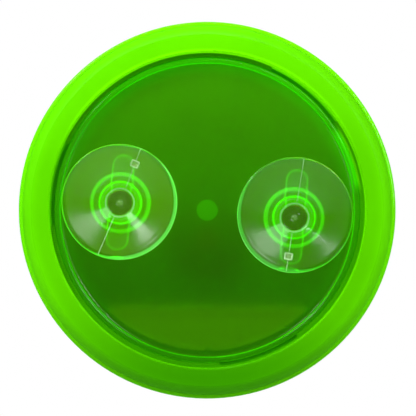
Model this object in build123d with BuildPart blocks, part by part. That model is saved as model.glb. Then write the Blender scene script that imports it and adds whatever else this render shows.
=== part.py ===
from build123d import *
import os
from math import cos, radians, sin, sqrt

# Round wasp trap for a window pane. Two clear suction cups snap into a round back plate. The housing,
# a rear ring welded to a domed front shell, hangs on the plate by a three-lug bayonet. Wasps walk in
# through the entry cone and drop beside the bait tray. The middle of the pane's face between the two
# cups is the origin: +Y points away from the pane, +Z is up, and +X is to the right seen through the pane.

# Overall sizes
shell_radius = 75.2  # widest radius, at the front shell's lip
housing_rear = 6.0  # how far the rear ring's crest stands off the pane
dome_top = 58.0  # crown of the front shell
wall = 2.0  # wall of the rear ring

# Rear ring
opening_radius = 62.6  # finger recess and bore of the ring
shoulder_width = 3.8  # from the ring's flat face out to its side
crease_drop = 0.9  # fall of the flat face from its crest to the shoulder
shoulder_drop = 5.6  # fall from the crest to the foot of the shoulder
seat_width = 5.4  # inward flange that carries the seal
seat_thickness = 1.8
edge_round = 0.8  # rounding of the edges a hand touches

# Back plate
plate_rear = 13.0  # the plate's flat face
plate_thickness = 2.0
plate_turn = 4.9  # how far the plate stands turned, clockwise seen through the pane
rim_thickness = 2.1
rim_height = 3.8
rim_corner = 1.0  # fillet between the rim and the flat face
gate_radius = 4.2  # shallow dish round the moulding gate
gate_depth = 0.5
gate_nub_radius = 0.8
gate_nub_height = 0.3

# Bayonet
lug_count = 3
lug_middle = 65.0  # first lug, clockwise from the top of the plate
lug_span = 27.0
lug_thickness = 2.6
ledge_width = 1.6
ledge_thickness = 2.5
notch_clearance = 4.0  # degrees by which a notch is longer than a lug
unlock_turn = 30.0
stop_span = 4.0
stop_gap = 0.5  # degrees between a locked lug and its stop
slip = 0.3  # clearance between the turning pieces

# Cup sockets
socket_spacing = 69.5
socket_radius = 11.8
socket_height = 3.5
socket_wall = 1.2
sleeve_radius = 8.2
groove_depth = 2.2
bore_chamfer = 0.9
pad_length = 38.8  # stiffening pad under each socket
pad_width = 8.4
pad_height = 0.8

# Suction cups
cup_radius = 22.85
cup_land = 0.9  # flat sealing land at the rim
cup_rim = 1.9  # depth of the rim bead
cup_wall = 2.3
cup_hollow = 6.3  # depth of the cup's hollow
cup_crown = 0.5  # how far the hollow's side bulges from a straight cone
neck_radius = 5.4
neck_fit = 0.08  # running clearance of the neck in its bore
collar_radius = 7.9
collar_gap = 0.2
head_radius = 7.6
head_height = 2.8
head_edge = 0.9
head_nose_radius = 5.0
head_gap = 0.3
cup_dish_depth = 0.5
cup_nub_radius = 1.2

# Seal
seal_thickness = 1.5
seal_width = 2.8
seal_gap = 0.15
seal_inset = 0.4  # from the seat's bore

# Front shell
lip_overlap = 5.6  # how far the shell's lip reaches back over the ring
lip_wall = 1.5
lip_gap = 0.1
lip_round = 0.9  # rounding of the lip's free edge
side_wall = 2.2
crown_rise = 8.0  # from where side and roof would meet in a sharp corner up to the crown
dome_corner_radius = 32.0
snap_height = 0.4  # snap bead between the ring and the lip
snap_radius = 0.6
scent_hole_radius = 1.3
scent_hole_count = 7
scent_ring_gap = 5.0  # from the cone's flange to the ring of holes
scent_hole_step = 18.0
rib_thickness = 1.6
rib_angles = (-32.0, 0.0, 32.0)  # cradle ribs either side of the bottom
rib_overrun = 0.5  # by how much a rib is longer than the tray

# Entry cone
cone_height = -12.0  # height of the cone's axis
cone_plug_radius = 15.0
cone_fit = 0.1
cone_flange_lip = 4.0  # by how much the flange is wider than the plug
cone_flange_thickness = 2.0
cone_plug_length = 9.0
cone_length = 31.0
cone_wall = 1.6
throat_radius = 4.6
mouth_round = 1.2
socket_tube_wall = 1.9
socket_tube_rise = 3.0  # how far the tube stands out of the crown
socket_tube_length = 11.0
grip_count = 24
grip_radius = 0.9

# Bait tray
tray_level = -40.0  # level top edge
tray_gap = 0.8  # to the seat's bore, so that the tray lifts straight out
tray_wall = 1.6
tray_front_gap = 12.05  # from the crown, which clears the dome's round corner
tray_rear_gap = 1.0
tray_lip = 1.5
tray_lip_height = 1.2
key_width = 2.2
key_depth = 1.4
key_reach = 1.2

# Levels and radii that follow from the sizes above
plate_front = plate_rear + plate_thickness
ledge_inner = opening_radius - ledge_width
rim_outer = ledge_inner - slip
lug_outer = opening_radius - slip
lug_rear = plate_front - lug_thickness
ledge_front = lug_rear - slip
ledge_rear = ledge_front - ledge_thickness
seat_rear = plate_front + seal_gap + seal_thickness
seat_front = seat_rear + seat_thickness
seat_inner = opening_radius - seat_width
collar_outer = opening_radius + wall
shoulder_foot = housing_rear + shoulder_drop
lip_inner = shell_radius - lip_wall
skirt_outer = lip_inner - lip_gap
skirt_inner = skirt_outer - wall
skirt_front = shoulder_foot + lip_overlap
crease_radius = skirt_outer - shoulder_width
dome_corner = dome_top - crown_rise
notch_span = lug_span + notch_clearance
socket_rear = plate_rear - socket_height
bore_radius = neck_radius + neck_fit
tray_radius = seat_inner - tray_gap
tray_rear = seat_front + tray_rear_gap
tray_front = dome_top - tray_front_gap
tray_depth = tray_front - tray_rear
rib_length = tray_depth + rib_overrun
tube_front = dome_top + socket_tube_rise
tube_bore = cone_plug_radius + cone_fit
flange_front = tube_front + cone_flange_thickness
cone_rear = tube_front - cone_length
cone_flange_radius = cone_plug_radius + cone_flange_lip
scent_ring_radius = cone_flange_radius + scent_ring_gap

tolerance = 0.01  # for picking edges by their depth

os.makedirs("parts", exist_ok=True)


def facing_pane(depth, turn=0.0):
    """A sketch plane at this depth, looking back at the pane: local x is right and local y is up."""
    x_dir = (cos(radians(turn)), 0, -sin(radians(turn)))
    return Plane(origin=(0, depth, 0), x_dir=x_dir, z_dir=(0, -1, 0))


def from_top(clockwise):
    """The sketch angle of a place that lies this many degrees clockwise of the top."""
    return 90 - clockwise


def edges_at(depth):
    """The open part's edges that lie flat at this depth."""
    return edges().filter_by_position(Axis.Y, depth - tolerance, depth + tolerance)


def ring_sector(inner_radius, outer_radius, middle, span):
    """Adds a piece of a ring, span degrees long about the sketch angle middle, to the open sketch."""
    with BuildLine() as outline:
        outer = CenterArc((0, 0), outer_radius, middle - span / 2, span)
        inner = CenterArc((0, 0), inner_radius, middle - span / 2, span)
        Line(outer @ 0, inner @ 0)
        Line(outer @ 1, inner @ 1)
    make_face(outline.edges())


def save(part, name):
    """Labels a finished piece and writes its STEP file."""
    part.label = name
    export_step(part, f"parts/{name}.step")


# Back plate: a shallow pan with a flat floor, a low rim, bayonet lugs and two cup sockets.
socket_places = [(-socket_spacing / 2, 0), (socket_spacing / 2, 0)]
lug_angles = [lug_middle + n * 360 / lug_count for n in range(lug_count)]
rim_inner = rim_outer - rim_thickness
rim_rear = plate_rear - rim_height

with BuildPart() as back_plate:
    with BuildSketch(Plane.XY):
        with BuildLine():
            Polyline(
                (0, plate_rear),
                (rim_inner, plate_rear),
                (rim_inner, rim_rear),
                (rim_outer, rim_rear),
                (rim_outer, plate_front),
                (0, plate_front),
                close=True,
            )
        make_face()
        floor_corner = vertices().sort_by_distance((rim_inner, plate_rear))[0]
        fillet(floor_corner, rim_corner)
        rim_corners = vertices().group_by(Axis.Y)[0]
        fillet(rim_corners, edge_round)
    revolve(axis=Axis.Y)
    with BuildSketch(facing_pane(plate_front, plate_turn)):
        for angle in lug_angles:
            ring_sector(rim_outer - slip, lug_outer, from_top(angle), lug_span)
    extrude(amount=lug_thickness)
    with BuildSketch(facing_pane(plate_rear, plate_turn)):
        with Locations(*socket_places):
            SlotOverall(pad_length, pad_width, rotation=90)
    extrude(amount=pad_height)
    fillet(edges_at(plate_rear - pad_height), pad_height / 2)
    with BuildSketch(facing_pane(plate_rear, plate_turn)):
        with Locations(*socket_places):
            Circle(socket_radius)
    extrude(amount=socket_height)
    fillet(edges_at(socket_rear), socket_wall / 3)
    with BuildSketch(facing_pane(socket_rear, plate_turn)):
        with Locations(*socket_places):
            Circle(socket_radius - socket_wall)
            Circle(sleeve_radius, mode=Mode.SUBTRACT)
    extrude(amount=-groove_depth, mode=Mode.SUBTRACT)
    with Locations(facing_pane(socket_rear, plate_turn)):
        with Locations(*socket_places):
            CounterSinkHole(bore_radius, bore_radius + bore_chamfer)
    with BuildSketch(facing_pane(plate_rear, plate_turn)):
        Circle(gate_radius)
    extrude(amount=-gate_depth, mode=Mode.SUBTRACT)
    with BuildSketch(facing_pane(plate_rear + gate_depth, plate_turn)):
        Circle(gate_nub_radius)
    extrude(amount=gate_nub_height)

save(back_plate.part, "back_plate")

# Rear ring: the housing's back half, with the bore that the plate turns in and the seat for the seal.
notch_shift = plate_turn - unlock_turn
ledge_span = 360 / lug_count - notch_span
stop_shift = plate_turn + (lug_span + stop_span) / 2 + stop_gap

with BuildPart() as rear_ring:
    with BuildSketch(Plane.XY):
        with BuildLine():
            face = Polyline(
                (skirt_outer, skirt_front),
                (skirt_inner, skirt_front),
                (skirt_inner, shoulder_foot),
                (crease_radius - wall / 2, housing_rear + crease_drop + wall),
                (collar_outer, housing_rear + wall),
                (collar_outer, seat_front),
                (seat_inner, seat_front),
                (seat_inner, seat_rear),
                (opening_radius, seat_rear),
                (opening_radius, housing_rear),
                (crease_radius, housing_rear + crease_drop),
            )
            shoulder = TangentArc(
                (skirt_outer, shoulder_foot),
                (crease_radius, housing_rear + crease_drop),
                tangent=(0, -1),
            )
            Line(shoulder @ 0, face @ 0)
        make_face()
        bore_edge = vertices().sort_by_distance((opening_radius, housing_rear))[0]
        fillet(bore_edge, edge_round)
    revolve(axis=Axis.Y)
    with BuildSketch(facing_pane(ledge_front)):
        for angle in lug_angles:
            ledge_middle = angle + notch_shift + 180 / lug_count
            ring_sector(ledge_inner, opening_radius + slip, from_top(ledge_middle), ledge_span)
    extrude(amount=ledge_thickness)
    with BuildSketch(facing_pane(seat_rear)):
        for angle in lug_angles:
            ring_sector(ledge_inner, opening_radius + slip, from_top(angle + stop_shift), stop_span)
    extrude(amount=seat_rear - ledge_front)
    with BuildSketch(Plane.XY):
        with Locations((skirt_outer - snap_radius + snap_height, (shoulder_foot + skirt_front) / 2)):
            Circle(snap_radius)
    revolve(axis=Axis.Y)

save(rear_ring.part, "rear_ring")

# Seal: a flat soft ring on the seat, which the plate closes against.
seal_middle = seat_inner + seal_inset + seal_width / 2

with BuildPart() as seal_ring:
    with BuildSketch(Plane.XY):
        with Locations((seal_middle, seat_rear - seal_thickness / 2)):
            RectangleRounded(seal_width, seal_thickness, seal_thickness / 3)
    revolve(axis=Axis.Y)

save(seal_ring.part, "seal_ring")


def draw_dome(inset):
    """Draws the front shell's half section, moved inwards by inset, closed along the axis."""
    side = shell_radius - inset
    with BuildLine() as outline:
        roof = TangentArc((0, dome_top - inset), (side, dome_corner - inset), tangent=(1, 0))
        Polyline(roof @ 1, (side, shoulder_foot), (0, shoulder_foot), roof @ 0)
    make_face(outline.edges())
    corner = vertices().sort_by_distance((side, dome_corner - inset))[0]
    fillet(corner, dome_corner_radius - inset)


# Cradle ribs, moulded in one with the front shell: the middle one keys into the tray's underside.
with BuildPart() as cradle_ribs:
    with BuildSketch(facing_pane(tray_rear)):
        for angle in rib_angles:
            reach = key_reach if angle == 0 else 0
            inner = tray_radius + slip - reach
            middle = (inner + shell_radius) / 2
            direction = radians(angle - 90)
            with Locations(Location((middle * cos(direction), middle * sin(direction)), angle - 90)):
                Rectangle(shell_radius - inner, rib_thickness)
    extrude(amount=-rib_length)
    with BuildSketch(Plane.XY):
        draw_dome(side_wall / 2)
    revolve(axis=Axis.Y, mode=Mode.INTERSECT)

# Front shell: the housing's domed front, with the tube that holds the entry cone.
with BuildPart() as front_shell:
    with BuildSketch(Plane.XY):
        draw_dome(0)
    revolve(axis=Axis.Y)
    with BuildSketch(Plane.XY):
        draw_dome(side_wall)
    revolve(axis=Axis.Y, mode=Mode.SUBTRACT)
    with BuildSketch(facing_pane(shoulder_foot)):
        Circle(lip_inner)
    extrude(amount=-(lip_overlap + lip_gap), mode=Mode.SUBTRACT)
    lip_edge = edges_at(shoulder_foot).sort_by(SortBy.RADIUS)[-1]
    fillet(lip_edge, lip_round)
    with BuildSketch(Plane.XY):
        with Locations((lip_inner - snap_radius + snap_height, (shoulder_foot + skirt_front) / 2)):
            Circle(snap_radius)
    revolve(axis=Axis.Y, mode=Mode.SUBTRACT)
    add(cradle_ribs.part)
    with BuildSketch(facing_pane(tube_front)):
        with Locations((0, cone_height)):
            Circle(tube_bore + socket_tube_wall)
    extrude(amount=socket_tube_length)
    with BuildSketch(facing_pane(tube_front)):
        with Locations((0, cone_height)):
            Circle(tube_bore)
    extrude(amount=socket_tube_length, mode=Mode.SUBTRACT)
    with BuildSketch(facing_pane(dome_top)):
        for n in range(scent_hole_count):
            angle = radians(90 + scent_hole_step * (n - (scent_hole_count - 1) / 2))
            place = (scent_ring_radius * cos(angle), cone_height + scent_ring_radius * sin(angle))
            with Locations(place):
                Circle(scent_hole_radius)
    extrude(amount=dome_top - dome_corner, mode=Mode.SUBTRACT)

save(front_shell.part, "front_shell")

# Entry cone: pushed into the front shell's tube, wide mouth to the room and narrow throat inside.
cone_axis = Axis((0, 0, cone_height), (0, 1, 0))
plug_rear = tube_front - cone_plug_length

with BuildPart() as entry_cone:
    with BuildSketch(Plane(origin=(0, 0, cone_height), x_dir=(1, 0, 0), z_dir=(0, 0, 1))):
        with BuildLine():
            Polyline(
                (cone_flange_radius, tube_front),
                (cone_flange_radius, flange_front),
                (cone_plug_radius + cone_wall / 2, flange_front),
                (cone_plug_radius - cone_wall, tube_front),
                (cone_plug_radius - cone_wall, plug_rear),
                (throat_radius, cone_rear),
                (throat_radius + cone_wall, cone_rear),
                (cone_plug_radius, plug_rear),
                (cone_plug_radius, tube_front),
                close=True,
            )
        make_face()
        mouth = vertices().sort_by_distance((cone_plug_radius + cone_wall / 2, flange_front))[0]
        fillet(mouth, mouth_round)
        flange_edge = vertices().sort_by_distance((cone_flange_radius, flange_front))[0]
        fillet(flange_edge, edge_round)
    revolve(axis=cone_axis)
    with BuildSketch(facing_pane(flange_front)):
        with Locations((0, cone_height)):
            with PolarLocations(cone_flange_radius + grip_radius / 2, grip_count):
                Circle(grip_radius)
    extrude(amount=cone_flange_thickness, mode=Mode.SUBTRACT)

save(entry_cone.part, "entry_cone")


def draw_trough(radius, level):
    """Draws the part of a circle that lies below this level."""
    Circle(radius)
    with Locations((0, level + radius)):
        Rectangle(2 * radius, 2 * radius, mode=Mode.SUBTRACT)


# Bait tray: a trough with a level top edge and a round bottom, keyed on the shell's middle rib.
lip_half_length = sqrt(tray_radius**2 - (tray_level - tray_lip_height) ** 2)
trough_radius = tray_radius - tray_wall

with BuildPart() as bait_tray:
    with BuildSketch(facing_pane(tray_rear)):
        draw_trough(tray_radius, tray_level)
    extrude(amount=-tray_depth)
    with BuildSketch(facing_pane(tray_rear + tray_wall)):
        draw_trough(trough_radius, tray_level + tray_wall)
    extrude(amount=-(tray_depth - 2 * tray_wall), mode=Mode.SUBTRACT)
    with BuildSketch(facing_pane(tray_rear)):
        with Locations((0, -trough_radius)):
            Rectangle(key_width + 2 * tray_wall, 2 * key_depth)
    extrude(amount=-tray_depth)
    with BuildSketch(facing_pane(tray_rear)):
        with Locations((0, -tray_radius)):
            Rectangle(key_width, 2 * key_depth)
    extrude(amount=-tray_depth, mode=Mode.SUBTRACT)
    with BuildSketch(facing_pane(tray_rear), facing_pane(tray_front + tray_lip)):
        with Locations((0, tray_level - tray_lip_height / 2)):
            Rectangle(2 * lip_half_length, tray_lip_height)
    extrude(amount=tray_lip)

save(bait_tray.part, "bait_tray")


def build_cup(name, centre_x, centre_z):
    """One clear suction cup with its axis through this place on the pane."""
    neck_rear = socket_rear - collar_gap
    head_rear = plate_front + head_gap
    hub_front = cup_hollow + cup_dish_depth
    with BuildPart() as cup:
        with BuildSketch(Plane(origin=(centre_x, 0, centre_z), x_dir=(1, 0, 0), z_dir=(0, 0, 1))):
            with BuildLine():
                Polyline(
                    (0, cup_hollow),
                    (cup_nub_radius, cup_hollow),
                    (cup_nub_radius, hub_front),
                    (neck_radius, hub_front),
                    (neck_radius, cup_hollow),
                )
                hollow = ThreePointArc(
                    (neck_radius, cup_hollow),
                    ((neck_radius + cup_radius - cup_land) / 2, cup_hollow / 2 + cup_crown),
                    (cup_radius - cup_land, 0),
                )
                Polyline(
                    hollow @ 1,
                    (cup_radius, 0),
                    (cup_radius, cup_rim / 2),
                    (cup_radius - cup_land, cup_rim),
                    (collar_radius + cup_wall, neck_rear - cup_wall),
                    (collar_radius, neck_rear),
                    (neck_radius, neck_rear),
                    (neck_radius, head_rear),
                    (head_radius, head_rear),
                    (head_radius, head_rear + head_edge),
                    (head_nose_radius, head_rear + head_height),
                    (0, head_rear + head_height),
                    (0, cup_hollow),
                )
            make_face()
        revolve(axis=Axis((centre_x, 0, centre_z), (0, 1, 0)))
    save(cup.part, name)


for name, (across, _) in zip(("suction_cup_left", "suction_cup_right"), socket_places):
    build_cup(name, across * cos(radians(plate_turn)), -across * sin(radians(plate_turn)))
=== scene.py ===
from math import cos, pi, radians, sin

import bmesh
import bpy
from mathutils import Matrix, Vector


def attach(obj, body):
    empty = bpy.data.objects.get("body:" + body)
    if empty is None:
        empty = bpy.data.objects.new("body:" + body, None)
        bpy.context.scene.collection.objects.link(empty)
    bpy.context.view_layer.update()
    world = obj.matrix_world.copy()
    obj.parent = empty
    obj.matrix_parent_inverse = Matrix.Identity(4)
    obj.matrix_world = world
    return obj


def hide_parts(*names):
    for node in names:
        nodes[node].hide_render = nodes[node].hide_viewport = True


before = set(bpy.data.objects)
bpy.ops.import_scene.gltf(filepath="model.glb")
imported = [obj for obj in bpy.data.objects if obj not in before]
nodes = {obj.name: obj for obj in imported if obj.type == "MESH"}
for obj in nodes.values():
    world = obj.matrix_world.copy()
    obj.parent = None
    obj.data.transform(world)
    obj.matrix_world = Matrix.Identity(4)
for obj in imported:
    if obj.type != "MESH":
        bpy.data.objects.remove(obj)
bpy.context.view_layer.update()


# ---------------------------------------------------------------------------------------------
# Rear ring: the housing's back half, one injection moulding in lime styrene with a fluorescent
# dye. Its bore takes the back plate's bayonet, and its skirt is pressed into the shell's lip.

MM = 0.001


class Signal:
    """A shader socket. Arithmetic on it adds Math nodes to its recipe."""

    def __init__(self, recipe, socket):
        self.recipe = recipe
        self.socket = socket

    def math(self, operation, other=0.0, flipped=False):
        first, second = (other, self) if flipped else (self, other)
        return self.recipe.add("ShaderNodeMath", {"operation": operation}, {0: first, 1: second})

    def __add__(self, other):
        return self.math("ADD", other)

    def __radd__(self, other):
        return self.math("ADD", other, flipped=True)

    def __sub__(self, other):
        return self.math("SUBTRACT", other)

    def __rsub__(self, other):
        return self.math("SUBTRACT", other, flipped=True)

    def __mul__(self, other):
        return self.math("MULTIPLY", other)

    def __rmul__(self, other):
        return self.math("MULTIPLY", other, flipped=True)

    def __truediv__(self, other):
        return self.math("DIVIDE", other)

    def __rtruediv__(self, other):
        return self.math("DIVIDE", other, flipped=True)

    def __pow__(self, other):
        return self.math("POWER", other)

    def __rpow__(self, other):
        return self.math("POWER", other, flipped=True)

    def __abs__(self):
        return self.math("ABSOLUTE")

    def ramp(self, low, high, bottom=0.0, top=1.0):
        """Runs smoothly from bottom to top while this value goes from low to high."""
        return self.recipe.add(
            "ShaderNodeMapRange",
            {"interpolation_type": "SMOOTHSTEP"},
            {0: self, 1: low, 2: high, 3: bottom, 4: top},
        )


class Recipe:
    """The shader of a material or a world: add() makes a node from its type, settings and inputs."""

    def __init__(self, owner):
        self.owner = owner
        owner.use_nodes = True
        self.tree = owner.node_tree
        self.tree.nodes.clear()

    def add(self, kind, settings=None, inputs=None, output=0):
        node = self.tree.nodes.new(kind)
        for setting, value in (settings or {}).items():
            setattr(node, setting, value)
        for key, value in (inputs or {}).items():
            if isinstance(value, Signal):
                self.tree.links.new(value.socket, node.inputs[key])
            else:
                node.inputs[key].default_value = value
        return Signal(self, node.outputs[output]) if node.outputs else None

    def place(self):
        """The point on the object."""
        return self.add("ShaderNodeTexCoord", output=3)

    def parts(self, vector):
        """The x, y and z of a vector."""
        split = self.add("ShaderNodeSeparateXYZ", None, {0: vector})
        return [Signal(self, output) for output in split.socket.node.outputs]

    def noise(self, where, scale, detail=3.0):
        return self.add("ShaderNodeTexNoise", None, {"Vector": where, "Scale": scale, "Detail": detail})

    def blend(self, factor, first, second):
        """Colour that runs from first to second."""
        ends = [colour if isinstance(colour, Signal) else (*colour, 1) for colour in (first, second)]
        inputs = {0: factor, 6: ends[0], 7: ends[1]}
        return self.add("ShaderNodeMix", {"data_type": "RGBA"}, inputs, output=2)

    def steepness(self):
        """0 on a face that lies square to the trap's axis, 1 on a wall along it."""
        normal = self.add("ShaderNodeNewGeometry", output=1)
        turned = self.add(
            "ShaderNodeVectorTransform",
            {"vector_type": "NORMAL", "convert_from": "WORLD", "convert_to": "OBJECT"},
            {0: normal},
        )
        return 1.0 - abs(self.parts(turned)[1])

    def bump(self, height, strength, distance):
        inputs = {"Strength": strength, "Distance": distance, "Height": height}
        return self.add("ShaderNodeBump", None, inputs)

    def finish(self, surface, output="ShaderNodeOutputMaterial"):
        """Ends the recipe with this surface and hands over what it was made for."""
        self.add(output, None, {"Surface": surface})
        return self.owner


black = (0.0, 0.0, 0.0)
black_light = (*black, 1)
# The ring's lime, a painted shade toward its foot that also tints its flow marks, a painted glow for
# its lit parts, painted shade for the band in the bore, and the ticks' dark.
lime = (0.105, 0.62, 0.0)
lime_painted_shade_and_flow = (0.035, 0.31, 0.0)
lime_painted_glow = (0.14, 0.74, 0.0)
lime_painted_bore_shade = (0.04, 0.31, 0.0)
lime_in_tick = (0.01, 0.10, 0.0)
bore_radius = 62.6 * MM
shoulder_start = 66.0 * MM
# Bearing of the painted highlight streak in the ring's bore and on the plate's rim.
highlight_bearing = 70  # degrees clockwise from the top, seen from the window
tick_bearing = 262
ticks_round_bore = 430.0
flow_grain = 30.0
smudge_grain = 70.0
skin_grain = 400.0


def moulded_colour(recipe, where, colour, foot):
    """Dyed plastic with faint flow marks, and painted shade that deepens it toward the trap's foot."""
    height = recipe.parts(where)[2]
    # Painted shade toward the trap's foot.
    body = recipe.blend(height.ramp(-78 * MM, -30 * MM), foot, colour)
    flow = recipe.noise(where, flow_grain, 4.0)
    return recipe.blend(flow.ramp(0.35, 0.75) * 0.12, body, foot)


def polish(recipe, where):
    """Roughness of a polished moulding that has been handled."""
    return recipe.noise(where, smudge_grain, 5.0) ** 3 * 0.15 + 0.12


def moulding(recipe, where, tint, dull, light, sockets):
    """The closing surface of a moulding, with the fine skin that the mould leaves."""
    skin = recipe.noise(where, skin_grain, 2.0)
    varying = {
        "Base Color": tint,
        "Roughness": dull,
        "Emission Color": light,
        "Normal": recipe.bump(skin, 0.05, 0.0002),
    }
    return recipe.finish(recipe.add("ShaderNodeBsdfPrincipled", None, {**varying, **sockets}))


def facing(x, z, radius, bearing):
    """1 where a point lies on this clockwise bearing from the top, less beside it."""
    return (x * sin(radians(bearing)) + z * cos(radians(bearing))) / radius


def ring_plastic():
    """Lime styrene. Painted light sits on its rounded edges and shoulder, a painted highlight streaks
    the bore's wall, and painted shade keeps the band in the bore deep green.
    """
    recipe = Recipe(bpy.data.materials.new("lime_ring"))
    where = recipe.place()
    x, _, z = recipe.parts(where)
    radius = (x * x + z * z) ** 0.5
    # Painted light on the bore's rounded edge, with a crown of it over the bore's upper part.
    near_bore = radius.ramp(bore_radius + 1.4 * MM, bore_radius + 0.6 * MM)
    past_bore = radius.ramp(bore_radius - 0.2 * MM, bore_radius + 0.1 * MM)
    round_edge = recipe.steepness().ramp(0.1, 0.6) * near_bore * past_bore
    crown_reach = radius.ramp(bore_radius + 1.8 * MM, bore_radius + 1.0 * MM)
    crown_start = radius.ramp(bore_radius - 0.3 * MM, bore_radius)
    crown = crown_reach * crown_start * z.ramp(15 * MM, 60 * MM, 0.0, 0.5)
    bore = round_edge * z.ramp(-62 * MM, -20 * MM, 0.25, 0.5) + crown
    # Painted light on the shoulder, brightest between the foot and the top.
    shoulder = radius.ramp(shoulder_start, shoulder_start + 8.5 * MM)
    shoulder = shoulder * z.ramp(-75 * MM, -15 * MM, 0.15, 0.36) * z.ramp(10 * MM, 70 * MM, 1.0, 0.1)
    # A painted highlight, a streak down the bore's wall.
    streak = facing(x, z, radius, highlight_bearing).ramp(0.972, 0.99)
    streak = streak * radius.ramp(bore_radius - 0.7 * MM, bore_radius - 1.0 * MM) * 0.3
    lit = bore + shoulder + streak

    # Fine dark ticks on one side of the bore, over the band that painted shade keeps deep green.
    turn = x.math("ARCTAN2", z)
    ticks = (turn * ticks_round_bore).math("SINE").ramp(0.0, 0.6)
    ticks = ticks * facing(x, z, radius, tick_bearing).ramp(0.84, 0.92)
    ticks = ticks * radius.ramp(bore_radius - 1.5 * MM, bore_radius - 1.2 * MM)
    band = recipe.blend(ticks * 0.85, lime_painted_bore_shade, lime_in_tick)
    # Painted shade darkens the band in the bore.
    painted_bore_shade = radius.ramp(bore_radius + 0.2 * MM, bore_radius - 0.2 * MM) * 0.9
    body = recipe.blend(painted_bore_shade, moulded_colour(recipe, where, lime, lime_painted_shade_and_flow), band)
    # Where painted light falls, the colour turns to the painted glow and gives off light.
    tint = recipe.blend(lit, body, lime_painted_glow)
    dull = polish(recipe, where) + radius.ramp(69 * MM, 72 * MM) * 0.45
    sockets = {
        "Transmission Weight": 0.12,
        "IOR": 1.2,
        "Specular IOR Level": 0.12,
        "Emission Strength": 0.7,
    }
    return moulding(recipe, where, tint, dull, recipe.blend(lit, black, tint), sockets)


def dress(node, material):
    """Gives a carried-over CAD node its finished material."""
    for slot in nodes[node].material_slots:
        slot.material = material


dress("rear_ring", ring_plastic())


# ---------------------------------------------------------------------------------------------
# Front shell: the housing's domed room side, moulded in the same lime styrene but clearer. Its
# free edge stands round the ring, where painted light shows it as a bright line.

# The shell's lime, and a painted shade toward its foot that also tints its flow marks.
shell_lime = (0.13, 0.72, 0.0)
shell_lime_painted_shade_and_flow = (0.10, 0.60, 0.0)
lip_end = 12.2 * MM
lip_depth = 1.4 * MM


def shell_plastic():
    """Lime styrene with painted light along the free edge."""
    recipe = Recipe(bpy.data.materials.new("lime_shell"))
    where = recipe.place()
    _, y, z = recipe.parts(where)
    # Painted light along the free edge, weaker toward the foot.
    lip_light = y.ramp(lip_end + lip_depth, lip_end) * z.ramp(-75 * MM, -20 * MM, 0.45, 1.0)
    tint = recipe.blend(lip_light, moulded_colour(recipe, where, shell_lime, shell_lime_painted_shade_and_flow), lime_painted_glow)
    sockets = {"Transmission Weight": 0.3, "IOR": 1.5, "Emission Strength": 0.42}
    light = recipe.blend(lip_light, black, tint)
    return moulding(recipe, where, tint, polish(recipe, where), light, sockets)


dress("front_shell", shell_plastic())


# ---------------------------------------------------------------------------------------------
# Seal ring: a flat ring of soft grey rubber, moulded and laid loose on the seat in the ring's
# bore, where the back plate closes on it.

# The seal's grey, and a painted shade for its walls and foot that also tints its flow marks.
seal_grey = (0.30, 0.36, 0.30)
seal_painted_shade_and_flow = (0.30, 0.35, 0.30)


def seal_rubber():
    """Natural grey rubber, with painted shade on its walls and toward its foot."""
    recipe = Recipe(bpy.data.materials.new("seal_grey"))
    where = recipe.place()
    body = moulded_colour(recipe, where, seal_grey, seal_painted_shade_and_flow)
    # Painted shade on the walls.
    tint = recipe.blend(recipe.steepness() * 0.2, body, seal_painted_shade_and_flow)
    sockets = {"IOR": 1.4, "Emission Strength": 0.0}
    return moulding(recipe, where, tint, polish(recipe, where), black_light, sockets)


dress("seal_ring", seal_rubber())


# ---------------------------------------------------------------------------------------------
# Bait tray: a shallow trough for the liquid bait, moulded in clear yellow-green plastic and
# keyed on a rib of the shell. It glows a little with painted light, so its top edge shows.

tray_yellow = (0.74, 0.72, 0.0)


def tray_plastic():
    """Clear yellow-green plastic of one colour, with a painted glow."""
    recipe = Recipe(bpy.data.materials.new("lime_tray"))
    where = recipe.place()
    tint = (*tray_yellow, 1)
    # The emission is the painted glow.
    sockets = {"Transmission Weight": 0.2, "IOR": 1.5, "Emission Strength": 0.5}
    return moulding(recipe, where, tint, polish(recipe, where), tint, sockets)


dress("bait_tray", tray_plastic())


# ---------------------------------------------------------------------------------------------
# Entry cone: the one-way funnel that wasps crawl in through, moulded in deep green plastic. Its
# plug is pushed into the shell's tube and pulls out for emptying.

# The cone's green, and painted light for its walls.
cone_green = (0.03, 0.20, 0.0)
cone_painted_edge_light = (0.04, 0.30, 0.0)


def cone_plastic():
    """Deep green plastic, made a little lighter on its walls by painted light."""
    recipe = Recipe(bpy.data.materials.new("lime_cone"))
    where = recipe.place()
    tint = recipe.blend(recipe.steepness() * 0.2, cone_green, cone_painted_edge_light)
    sockets = {"Transmission Weight": 0.4, "IOR": 1.5, "Emission Strength": 0.0}
    return moulding(recipe, where, tint, polish(recipe, where), black_light, sockets)


dress("entry_cone", cone_plastic())


# ---------------------------------------------------------------------------------------------
# Back plate: a flat pan with a low rim and three bayonet lugs, moulded in darker clear green. A
# long pad stiffens it under each of its two cup sockets, and the gate left a shallow dish.

# The plate's green, a painted shade toward its foot that also tints its flow marks, and painted light
# for its edges and its glow.
plate_green = (0.122, 0.60, 0.0)
plate_green_painted_shade_and_flow = (0.055, 0.26, 0.0)
plate_painted_edge_light = (0.05, 0.80, 0.0)
plate_painted_glow = (0.04, 0.80, 0.0)
plate_turn = radians(4.9)
socket_across = 34.623 * MM
socket_rise = 2.968 * MM
left_socket = (-socket_across, socket_rise)
right_socket = (socket_across, -socket_rise)
pad_half_length = 15.2 * MM  # from the socket's middle to the middle of the pad's round end
pad_half_width = 4.2 * MM
pan_radius = 58.2 * MM
dish_radius = 4.3 * MM


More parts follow.
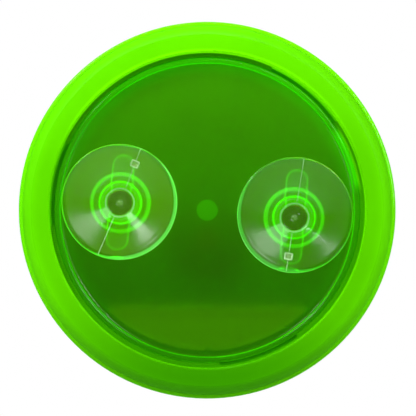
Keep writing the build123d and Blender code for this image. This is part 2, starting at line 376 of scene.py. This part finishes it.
def pad_outline(across, up):
    """The edge of a socket's long pad, from the place relative to the socket's middle."""
    side = across * cos(plate_turn) - up * sin(plate_turn)
    along = abs(across * sin(plate_turn) + up * cos(plate_turn))
    past_end = (along - pad_half_length).math("MAXIMUM", 0.0)
    reach = (side * side + past_end * past_end) ** 0.5
    inner = reach.ramp(pad_half_width - 0.5 * MM, pad_half_width - 0.15 * MM)
    return inner * reach.ramp(pad_half_width + 0.3 * MM, pad_half_width)


def plate_plastic():
    """The darker green of the plate, with painted shade toward its foot. Painted light sits on its
    raised faces, thin socket walls, rim, corner, pad edges and dish, and a painted highlight streaks
    the rim.
    """
    recipe = Recipe(bpy.data.materials.new("green_plate"))
    where = recipe.place()
    x, y, z = recipe.parts(where)
    radius = (x * x + z * z) ** 0.5
    # Painted shade darkens the plate toward its foot.
    body = recipe.blend(z.ramp(-45 * MM, 65 * MM), plate_green_painted_shade_and_flow, plate_green)
    flow = recipe.noise(where, flow_grain, 4.0)
    streaked = recipe.blend(flow.ramp(0.35, 0.75) * 0.2, body, plate_green_painted_shade_and_flow)
    # Painted light on the raised faces and the steep walls.
    raised = y.ramp(12.95 * MM, 12.5 * MM)
    raised_lit = recipe.blend(raised * 0.3, streaked, plate_painted_edge_light)
    steep = recipe.steepness().ramp(0.35, 1.0)
    tint = recipe.blend(steep, raised_lit, plate_painted_edge_light)

    # How far a place is from the nearer socket, and the outline of each socket's pad.
    from_sockets = []
    pad_lines = []
    for middle_x, middle_z in (left_socket, right_socket):
        across = x - middle_x
        up = z - middle_z
        from_sockets.append((across ** 2 + up ** 2) ** 0.5)
        pad_lines.append(pad_outline(across, up))
    from_socket = from_sockets[0].math("MINIMUM", from_sockets[1])
    # Painted light on each socket's thin outer wall and sleeve.
    outer_wall = from_socket.ramp(10.3 * MM, 10.9 * MM) * from_socket.ramp(12.1 * MM, 11.7 * MM)
    sleeve = from_socket.ramp(8.6 * MM, 8.1 * MM) * from_socket.ramp(5.6 * MM, 6.3 * MM)

    # Painted light on the steep walls, the rim and the pan's corner, then on the dish and the pads'
    # edges, and a painted highlight streak on the rim.
    walls = steep * radius.ramp(pan_radius - 0.7 * MM, pan_radius, 1.0, 0.45)
    rim = radius.ramp(pan_radius + 0.1 * MM, pan_radius + 0.6 * MM)
    rim = rim * z.ramp(20 * MM, 60 * MM, 0.08, 0.26)
    corner = radius.ramp(pan_radius - 5.2 * MM, pan_radius - 0.7 * MM)
    corner = corner * radius.ramp(pan_radius + 0.4 * MM, pan_radius)
    corner = corner * z.ramp(-20 * MM, 50 * MM, 0.05, 0.14)
    dish = radius.ramp(dish_radius, dish_radius - 0.2 * MM) * 0.19
    pads = (pad_lines[0] + pad_lines[1]) * 0.8
    streak = facing(x, z, radius, highlight_bearing).ramp(0.972, 0.99)
    streak = streak * radius.ramp(pan_radius + 1.1 * MM, pan_radius + 1.4 * MM) * 0.5
    lit = walls.math("MAXIMUM", outer_wall * 0.6 + sleeve * 0.35)
    lit = lit + dish + rim + pads + streak + corner

    matt_inside = y.ramp(14.2 * MM, 14.8 * MM) * 0.28
    dull = polish(recipe, where) + matt_inside
    sockets = {"Transmission Weight": 0.8, "IOR": 1.5, "Emission Strength": 0.6}
    return moulding(recipe, where, tint, dull, recipe.blend(lit, black, plate_painted_glow), sockets)


dress("back_plate", plate_plastic())
nodes["back_plate"].visible_shadow = False


# ---------------------------------------------------------------------------------------------
# Suction cups: soft clear vinyl, cast in a two-part mould. The mould's parting line crosses the
# hollow, a small blank pad sits on it, and the head snaps through the plate's socket.

cup_hollow = 6.3 * MM
web_start = 5.9 * MM
hub_radius = 5.4 * MM
land_inner = 21.2 * MM
hollow_steps = 14
turn_steps = 144
finishes = ("vinyl", "bead", "seam", "core")


def hollow_depth(radius):
    """How deep the cup's hollow is at this radius."""
    share = (land_inner - radius) / (land_inner - hub_radius)
    return max(0.0, share) ** 0.93 * cup_hollow


def softness_at(depth):
    """How freely the cup flexes at this depth: 1 at the rim, 0 from the hub on."""
    return max(0.0, 1 - depth / cup_hollow)


def in_metres(points):
    return [(radius * MM, depth * MM) for radius, depth in points]


def cup_outline():
    """The cup's half section from the hub's middle round to the head's, as (radius, depth,
    finish of the face that follows)."""
    hub = [(0, 6.9), (0.5, 6.9), (0.8, 7.15), (1.2, 7.2), (1.6, 7.1), (1.9, 6.9), (2.2, 7.1)]
    hub += [(4.6, 7.15), (4.9, 7.0)]
    bead = [(21.5, 0), (22.3, 0), (22.62, 0.1), (22.8, 0.35), (22.85, 0.8), (22.8, 1.3)]
    bead += [(22.55, 1.75), (22.1, 2.0)]
    back = [(21.2, 2.3), (19.0, 3.1), (16.0, 4.3), (13.0, 5.6), (10.5, 7.0), (9.0, 8.1), (8.2, 8.8)]
    stem = [(7.8, 9.15), (7.3, 9.28), (5.8, 9.28), (5.5, 9.35), (5.38, 9.6), (5.38, 15.1), (5.5, 15.35)]
    head = [(7.1, 15.4), (7.5, 15.6), (7.55, 16.0), (7.2, 16.6), (6.2, 17.3), (5.2, 17.8), (4.0, 18.0)]
    head += [(0, 18.0)]
    hollow = []
    for step in range(1, hollow_steps + 1):
        radius = web_start + (land_inner - web_start) * step / hollow_steps
        hollow.append((radius, hollow_depth(radius)))
    runs = [
        ("core", in_metres(hub)),
        ("vinyl", in_metres([(5.15, 6.6)])),
        ("seam", in_metres([(5.4, 6.35)])),
        ("vinyl", in_metres([(5.9, 6.2)]) + hollow[:-1]),
        ("bead", hollow[-1:] + in_metres(bead)),
        ("vinyl", in_metres(back + stem)),
        ("core", in_metres(head)),
    ]
    return [(radius, depth, finish) for finish, run in runs for radius, depth in run]


def turn_cup(name, lean, bead_shift):
    """The cup's body, turned round its own axis. lean is how far its soft rim sits off the axis
    and bead_shift how far the inner edge of its bead does, both as (across, up)."""
    vertices = []
    faces = []
    kinds = []
    outline = cup_outline()
    for radius, depth, finish in outline:
        softness = softness_at(depth)
        on_bead_edge = 20 * MM < radius < 21.6 * MM and depth < 1 * MM
        across, up = [lean[i] * softness + (bead_shift[i] if on_bead_edge else 0.0) for i in (0, 1)]
        for step in range(turn_steps):
            angle = 2 * pi * step / turn_steps
            vertices.append((radius * sin(angle) + across, depth, radius * cos(angle) + up))
    for row in range(len(outline) - 1):
        here = row * turn_steps
        ahead = here + turn_steps
        for step in range(turn_steps):
            after = (step + 1) % turn_steps
            faces.append((here + step, ahead + step, ahead + after, here + after))
            kinds.append(finishes.index(outline[row][2]))
    mesh = bpy.data.meshes.new(name)
    mesh.from_pydata(vertices, [], faces)
    mesh.validate()
    for polygon, kind in zip(mesh.polygons, kinds):
        polygon.material_index = kind
    return mesh


def on_hollow(distance, direction, lean):
    """A point on the hollow's face, this far from the axis."""
    depth = hollow_depth(distance)
    softness = softness_at(depth)
    across = distance * sin(direction) + lean[0] * softness
    up = distance * cos(direction) + lean[1] * softness
    return Vector((across, depth, up))


def join_rings(work, rings, finish):
    """Closes the skin between each ring of vertices and the next."""
    for low, high in zip(rings, rings[1:]):
        for part in range(len(low)):
            after = (part + 1) % len(low)
            face = work.faces.new((low[part], low[after], high[after], high[part]))
            face.material_index = finishes.index(finish)


def ring_of(work, points):
    """Vertices at these points, kept off the pane."""
    return [work.verts.new((point.x, max(point.y, 0.0), point.z)) for point in points]


seam_width = 0.26 * MM
seam_height = 0.16 * MM
seam_sink = 0.05 * MM
seam_start = 6.2 * MM
seam_end = 22.5 * MM
seam_steps = 15


def add_seam(work, direction, lean):
    """The parting line's fine ridge, along one half of the hollow."""
    across = Vector((cos(direction), 0, -sin(direction)))
    rings = []
    for step in range(seam_steps + 1):
        distance = seam_start + (seam_end - seam_start) * step / seam_steps
        middle = on_hollow(distance, direction, lean)
        points = []
        for part in range(5):
            swing = pi * part / 4
            rise = Vector((0, -1, 0)) * (sin(swing) * seam_height - seam_sink)
            points.append(middle + across * (cos(swing) * seam_width / 2) + rise)
        rings.append(ring_of(work, points))
    join_rings(work, rings, "seam")
    work.faces.new(rings[0][::-1]).material_index = finishes.index("seam")
    work.faces.new(rings[-1]).material_index = finishes.index("seam")


pad_distance = 16.2 * MM
pad_across = 3.2 * MM
pad_along = 2.9 * MM
pad_corner = 0.45 * MM
pad_rows = ((-0.12, -0.1), (0.0, 0.18), (0.12, 0.26), (0.34, 0.26), (0.46, 0.12))  # inset and rise, mm


def add_pad(work, direction, lean):
    """The small blank pad on the seam: a raised frame round a sunk middle."""
    beyond = on_hollow(pad_distance + MM, direction, lean)
    outward = (beyond - on_hollow(pad_distance - MM, direction, lean)).normalized()
    across = Vector((cos(direction), 0, -sin(direction)))
    normal = outward.cross(across)
    if normal.y > 0:
        normal = -normal
    middle = on_hollow(pad_distance, direction, lean)
    rings = []
    for inset, rise in pad_rows:
        points = []
        for quarter, (side_x, side_z) in enumerate(((1, 1), (-1, 1), (-1, -1), (1, -1))):
            for part in range(4):
                swing = pi / 2 * (quarter + part / 3)
                x = side_x * (pad_across / 2 - inset * MM - pad_corner) + pad_corner * cos(swing)
                z = side_z * (pad_along / 2 - inset * MM - pad_corner) + pad_corner * sin(swing)
                points.append(middle + across * x + outward * z + normal * (rise * MM))
        rings.append(ring_of(work, points))
    join_rings(work, rings, "seam")
    work.faces.new(rings[-1]).material_index = finishes.index("core")
    work.faces.new(rings[0][::-1]).material_index = finishes.index("seam")


def build_cup(name, centre, seam_bearing, lean, bead_shift):
    """One cup with its seam and pad."""
    mesh = turn_cup(name, lean, bead_shift)
    work = bmesh.new()
    work.from_mesh(mesh)
    bmesh.ops.remove_doubles(work, verts=work.verts, dist=1e-6)
    bmesh.ops.recalc_face_normals(work, faces=work.faces)
    direction = radians(seam_bearing)
    for half in (direction, direction + pi):
        add_seam(work, half, lean)
    add_pad(work, direction, lean)
    work.to_mesh(mesh)
    work.free()
    for polygon in mesh.polygons:
        polygon.use_smooth = True
    cup = bpy.data.objects.new(name, mesh)
    cup.location = (centre[0], 0, centre[1])
    bpy.context.scene.collection.objects.link(cup)
    return cup


vinyl_bend = 1.45
vinyl_smudge_grain = 160.0
vinyl_ripple_grain = 60.0
hub_swirl_grain = 1400.0


def clear_vinyl(name, colour, clearness, roughness, glow, nub=black):
    """Clear vinyl. glow is a painted glow for the light that it scatters, and nub the painted glow of
    the hub's small middle.
    """
    recipe = Recipe(bpy.data.materials.new(name))
    where = recipe.place()
    x, _, z = recipe.parts(where)
    radius = (x * x + z * z) ** 0.5
    swirl = recipe.noise(where, hub_swirl_grain, 3.0)
    # The hub's small middle, where the painted glow gives way to the nub's painted glow.
    centre = radius.ramp(1.9 * MM, 0.9 * MM) * swirl.ramp(0.35, 0.6)
    smudge = recipe.noise(where, vinyl_smudge_grain, 5.0)
    ripple = recipe.noise(where, vinyl_ripple_grain, 2.0)
    sockets = {
        "Base Color": recipe.blend(smudge, colour, tuple(0.95 * channel for channel in colour)),
        "Roughness": smudge ** 3 * 0.2 + roughness + radius.ramp(8 * MM, 19 * MM) * 0.1,
        "Transmission Weight": clearness,
        "IOR": vinyl_bend,
        "Emission Color": recipe.blend(centre, glow, nub),
        "Emission Strength": 1.0,
        "Normal": recipe.bump(ripple, 0.05, 0.0005),
    }
    return recipe.finish(recipe.add("ShaderNodeBsdfPrincipled", None, sockets))


bead_start = 22.2 * MM
bead_extra = 0.9 * MM  # how much wider the bead looks on its bright side


def bead_vinyl(name, lean, bright_bearing, glow_level):
    """The soft rim's vinyl, with painted green light over its outer part that reaches further in on one
    side of the cup.
    """
    recipe = Recipe(bpy.data.materials.new(name))
    where = recipe.place()
    x, _, z = recipe.parts(where)
    up = z - lean[1]
    radius = (x * x + up * up) ** 0.5
    # Painted light over the bead's outer part, reaching further in on the bright side.
    bright = facing(x, up, radius, bright_bearing).ramp(0.0, 0.8)
    edge = (radius + bright * bead_extra).ramp(bead_start, bead_start + 0.3 * MM)
    glow = recipe.blend(bright, (0.02, 0.30, 0.0), (0.06, 0.27, 0.04))
    sockets = {
        "Base Color": recipe.blend(edge, (0.93, 0.98, 0.90), (0.60, 0.98, 0.50)),
        "Roughness": recipe.noise(where, vinyl_smudge_grain, 5.0) ** 3 * 0.2 + 0.05,
        "Transmission Weight": 1.0,
        "IOR": vinyl_bend,
        "Emission Color": recipe.blend(edge, (0.01, 0.03, 0.0), glow),
        "Emission Strength": glow_level,
    }
    return recipe.finish(recipe.add("ShaderNodeBsdfPrincipled", None, sockets))


# The seam's glow is painted light.
seam_vinyl = clear_vinyl("vinyl_seam", (0.70, 0.95, 0.60), 0.82, 0.15, (0.05, 0.10, 0.04))


def left_cup():
    """The left cup, with its seam leaning to the right at the top."""
    lean = (0.0, 0.35 * MM)
    bead_shift = (-0.35 * MM, 0.2 * MM)
    cup = build_cup("cup_left_vinyl", left_socket, 22, lean, bead_shift)
    # Painted glow for the clear vinyl, the hub and the hub's middle, stronger than on the right cup.
    # This cup's vinyl is painted lighter than the right cup's, most of all at the hub, and its bead's
    # painted light is brighter.
    painted_haze = (0.022, 0.05, 0.0)
    hub_painted_haze = (0.022, 0.042, 0.004)
    hub_middle_glow = (0.10, 0.20, 0.05)
    coats = (
        clear_vinyl("clear_vinyl_left", (0.97, 0.99, 0.96), 1.0, 0.08, painted_haze),
        bead_vinyl("vinyl_bead_left", lean, 130, 1.0),
        seam_vinyl,
        clear_vinyl("vinyl_core_left", (0.50, 0.50, 0.30), 1.0, 0.1, hub_painted_haze, hub_middle_glow),
    )
    return cup, coats


def right_cup():
    """The right cup. Its soft rim sits higher off its axis, and its pad is at the foot."""
    lean = (0.0, 1.2 * MM)
    bead_shift = (0.3 * MM, 0.2 * MM)
    cup = build_cup("cup_right_vinyl", right_socket, 189, lean, bead_shift)
    # Painted glow for the clear vinyl, the hub and the hub's middle, weaker than on the left cup. This
    # cup's vinyl is painted darker than the left cup's, most of all at the hub, and its bead's painted
    # light is dimmer.
    painted_haze = (0.011, 0.026, 0.0)
    hub_painted_haze = (0.012, 0.02, 0.002)
    hub_middle_glow = (0.07, 0.14, 0.04)
    coats = (
        clear_vinyl("clear_vinyl_right", (0.96, 0.98, 0.95), 1.0, 0.08, painted_haze),
        bead_vinyl("vinyl_bead_right", lean, 235, 0.55),
        seam_vinyl,
        clear_vinyl("vinyl_core_right", (0.38, 0.40, 0.25), 1.0, 0.1, hub_painted_haze, hub_middle_glow),
    )
    return cup, coats


for side, (cup, coats) in (("left", left_cup()), ("right", right_cup())):
    cup.visible_shadow = False
    for coat in coats:
        cup.data.materials.append(coat)
    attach(cup, "cup_" + side)
    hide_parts("suction_cup_" + side)


# ---------------------------------------------------------------------------------------------
# Studio: a pale floor far below and a white sweep behind. Two softboxes above the camera are
# mirrored in the plastic, and the fills only light it.

scene = bpy.context.scene
scene.view_settings.view_transform = "Standard"
scene.cycles.max_bounces = 24
scene.cycles.transmission_bounces = 24
scene.cycles.transparent_max_bounces = 24
scene.cycles.sample_clamp_indirect = 4.0


def studio_sweep():
    """White to the camera, soft for the plastic's own light, and dim straight behind the trap for
    a ray that has come through it."""
    sky = Recipe(bpy.data.worlds.new("studio"))
    path = sky.add("ShaderNodeLightPath")
    ray = {output.name: Signal(sky, output) for output in path.socket.node.outputs}
    ambient = ray["Is Diffuse Ray"] * 0.33 + 0.01
    inside = ray["Transmission Depth"].math("GREATER_THAN", 0.5)
    heading = sky.parts(sky.add("ShaderNodeTexCoord"))[1]
    away = heading.ramp(-0.2, 0.2)
    to_the_side = heading.ramp(0.992, 0.93)
    through = inside * away * (to_the_side * 0.75 + 0.08)
    level = ray["Is Camera Ray"].math("MAXIMUM", ambient.math("MAXIMUM", through))
    backdrop = sky.add("ShaderNodeBackground", None, {"Color": (1, 1, 1, 1), "Strength": level})
    return sky.finish(backdrop, "ShaderNodeOutputWorld")


scene.world = studio_sweep()


def softbox(name, place, size, power, mirrored):
    """A rectangular lamp that faces the trap."""
    light = bpy.data.lights.new(name, "AREA")
    light.shape = "RECTANGLE"
    light.size, light.size_y = size
    light.energy = power
    lamp = bpy.data.objects.new(name, light)
    lamp.location = place
    lamp.rotation_mode = "QUATERNION"
    lamp.rotation_quaternion = (-Vector(place)).to_track_quat("-Z", "Y")
    lamp.visible_glossy = mirrored
    lamp.visible_transmission = False
    scene.collection.objects.link(lamp)


softbox("softbox_left", (-0.36, -0.45, 0.38), (0.18, 0.18), 0.75, True)
softbox("fill_left", (-0.5, -0.3, 0.2), (0.3, 0.3), 0.9, False)
softbox("softbox_right", (0.38, -0.45, 0.30), (0.34, 0.30), 1.2, True)
softbox("fill_top", (-0.04, -0.2, 0.30), (0.3, 0.12), 1.45, False)
softbox("fill_back", (0.0, 0.6, 0.5), (0.6, 0.6), 6.0, False)

floor_reach = 3.0
floor_level = -0.4


def pale_floor():
    """Pale matt card. It looks lit to the camera, and lights the trap only by what falls on it."""
    recipe = Recipe(bpy.data.materials.new("floor_pale"))
    grain = recipe.noise(recipe.place(), 3.0, 4.0)
    tone = recipe.blend(grain, (0.84, 0.84, 0.84), (0.88, 0.88, 0.88))
    seen = recipe.add("ShaderNodeLightPath")
    sockets = {
        "Base Color": tone,
        "Roughness": 0.9,
        "Emission Color": recipe.blend(seen, black, tone),
        "Emission Strength": 0.5,
    }
    return recipe.finish(recipe.add("ShaderNodeBsdfPrincipled", None, sockets))


def lay_floor():
    """The card, square round the trap."""
    square = ((-1, -1), (1, -1), (1, 1), (-1, 1))
    corners = [(x * floor_reach, y * floor_reach, floor_level) for x, y in square]
    mesh = bpy.data.meshes.new("floor")
    mesh.from_pydata(corners, [], [(0, 1, 2, 3)])
    mesh.materials.append(pale_floor())
    card = bpy.data.objects.new("floor", mesh)
    card.visible_glossy = False
    scene.collection.objects.link(card)


lay_floor()


# ---------------------------------------------------------------------------------------------
# Camera: square to the window pane, close to the trap's axis, where the pane would be looked
# through. The lens is worked out so that the trap fills its share of the frame.

stand_off = 0.9
lip_plane = 11.6 * MM
trap_radius = 75.2 * MM
radius_in_frame = 0.453365  # as a share of the frame's width
off_centre = (0.001923, 0.005288)


def place_camera():
    """A plain camera that looks along the trap's axis."""
    data = bpy.data.cameras.new("camera")
    data.sensor_width = 36.0
    data.lens = data.sensor_width * radius_in_frame * (stand_off + lip_plane) / trap_radius
    data.shift_x, data.shift_y = off_centre
    data.clip_start = 0.01
    camera = bpy.data.objects.new("camera", data)
    camera.location = (0, -stand_off, 0)
    camera.rotation_euler = (radians(90), 0, 0)
    scene.collection.objects.link(camera)
    scene.camera = camera


place_camera()
